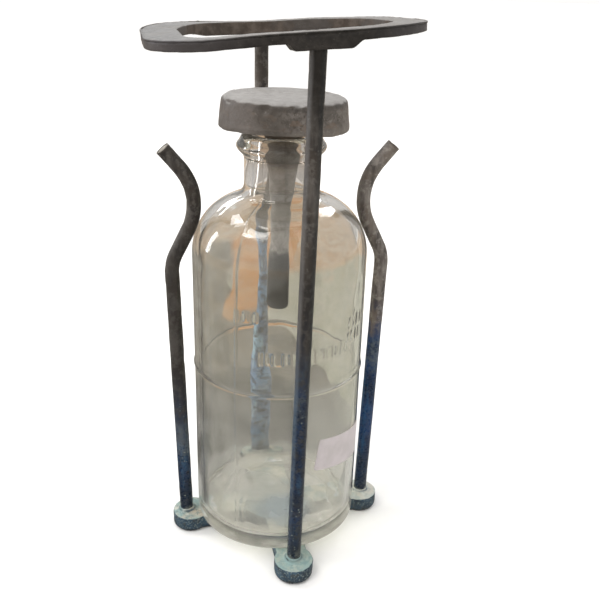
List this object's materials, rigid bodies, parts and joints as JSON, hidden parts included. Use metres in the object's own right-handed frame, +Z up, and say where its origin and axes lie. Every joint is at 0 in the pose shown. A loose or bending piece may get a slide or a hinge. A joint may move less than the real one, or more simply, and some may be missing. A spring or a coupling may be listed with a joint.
{
  "type": "acid bottle in cage",
  "caption": "Thick glass acid bottle in a rod cage: flat base spider, two fixed rods to a ring yoke, two springy prongs over the shoulder, and a loose lead stopper with a long stem.",
  "frame": {"origin": "centre of the underside of the base spider", "axes": "+Z up along the bottle, -Y towards the front rod, +X towards the right prong"},
  "size_m": [0.0831, 0.0822, 0.1828],
  "materials": {
    "base_metal": "dark blue paint worn to pale corrosion on the lobes' tops",
    "rod_metal": "bare dull lead-grey metal above, worn navy paint below",
    "yoke_metal": "dull grey cast metal, darker on its walls",
    "clear_glass": "clear old glass with a faint olive tint and a light film of dust",
    "lead": "dull oxidised lead with dents and a brown stain on the side",
    "label_paper": "matt off-white paper"
  },
  "bodies": {
    "cage": {"base_spider": "base_metal", "front_rod": "rod_metal", "back_rod": "rod_metal", "yoke": "yoke_metal"},
    "left_prong": {"left_prong": "rod_metal"},
    "right_prong": {"right_prong": "rod_metal"},
    "bottle": {"bottle": "clear_glass", "lot_label": "label_paper"},
    "stopper": {"stopper": "lead"}
  },
  "joints": [
    {"name": "bottle_lift", "type": "slide", "parent": "cage", "child": "bottle", "axis": [0, 0, 1], "range_m": [0, 0.01], "stiffness_N_per_m": 1000},
    {"name": "left_prong_flex", "type": "hinge", "parent": "cage", "child": "left_prong", "pos_m": [-0.034, 0, 0.003], "axis": [0, -1, 0], "range_deg": [0, 1.65]},
    {"name": "right_prong_flex", "type": "hinge", "parent": "cage", "child": "right_prong", "pos_m": [0.034, 0, 0.003], "axis": [0, 1, 0], "range_deg": [0, 1.65]},
    {"name": "stopper_lift", "type": "slide", "parent": "bottle", "child": "stopper", "axis": [0, 0, 1], "range_m": [0, 0.1]}
  ],
  "couplings": [
    {"joint": "left_prong_flex", "follows": "bottle_lift", "rad_per_m": 2.7925},
    {"joint": "right_prong_flex", "follows": "bottle_lift", "rad_per_m": 2.7925}
  ]
}
